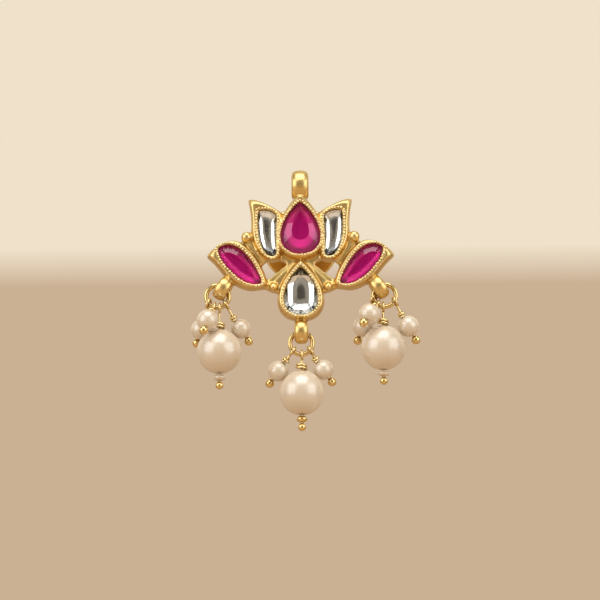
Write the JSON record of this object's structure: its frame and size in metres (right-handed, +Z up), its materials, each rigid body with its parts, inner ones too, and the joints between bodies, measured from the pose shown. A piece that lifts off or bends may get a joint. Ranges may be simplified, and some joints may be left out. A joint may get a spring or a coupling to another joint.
{
  "type": "drop earring",
  "caption": "Lotus drop earring: foil-backed ruby and clear stones in gold-tone bezels, a post with a disc nut, and pearl drops that swing from loops below.",
  "frame": {"origin": "where the post leaves the frame's flat back", "axes": "+X to the right as seen from the front, +Y backwards along the post, +Z up"},
  "size_m": [0.0303, 0.016, 0.035],
  "materials": {
    "gold_plate": "polished",
    "ruby_glass": "polished",
    "clear_glass": "polished",
    "pearl": "gloss"
  },
  "bodies": {
    "lotus": {"lotus_frame": "gold_plate", "ear_nut": "gold_plate", "ruby_pear": "ruby_glass", "ruby_marquise_left": "ruby_glass", "ruby_marquise_right": "ruby_glass", "clear_pear": "clear_glass", "clear_petal_left": "clear_glass", "clear_petal_right": "clear_glass"},
    "left_drop": {"left_ring": "gold_plate", "left_pin": "gold_plate", "left_pearl": "pearl", "left_end_bead": "pearl", "left_small_pin_1": "gold_plate", "left_small_pearl_1": "pearl", "left_small_pin_2": "gold_plate", "left_small_pearl_2": "pearl", "left_small_pin_3": "gold_plate", "left_small_pearl_3": "pearl"},
    "centre_drop": {"centre_ring": "gold_plate", "centre_pin": "gold_plate", "centre_pearl": "pearl", "centre_end_bead": "gold_plate", "centre_small_pin_1": "gold_plate", "centre_small_pearl_1": "pearl", "centre_small_pin_2": "gold_plate", "centre_small_pearl_2": "pearl"},
    "right_drop": {"right_ring": "gold_plate", "right_pin": "gold_plate", "right_pearl": "pearl", "right_end_bead": "pearl", "right_small_pin_1": "gold_plate", "right_small_pearl_1": "pearl", "right_small_pin_2": "gold_plate", "right_small_pearl_2": "pearl", "right_small_pin_3": "gold_plate", "right_small_pearl_3": "pearl"}
  },
  "joints": [
    {"name": "left_swing", "type": "hinge", "parent": "lotus", "child": "left_drop", "pos_m": [-0.01027, -0.0011, -0.00737], "axis": [0.8192, 0, -0.5736], "range_deg": [-50, 50]},
    {"name": "centre_swing", "type": "hinge", "parent": "lotus", "child": "centre_drop", "pos_m": [0, -0.0011, -0.01323], "axis": [1, 0, 0], "range_deg": [-50, 50]},
    {"name": "right_swing", "type": "hinge", "parent": "lotus", "child": "right_drop", "pos_m": [0.01027, -0.0011, -0.00737], "axis": [0.8192, 0, 0.5736], "range_deg": [-50, 50]}
  ]
}
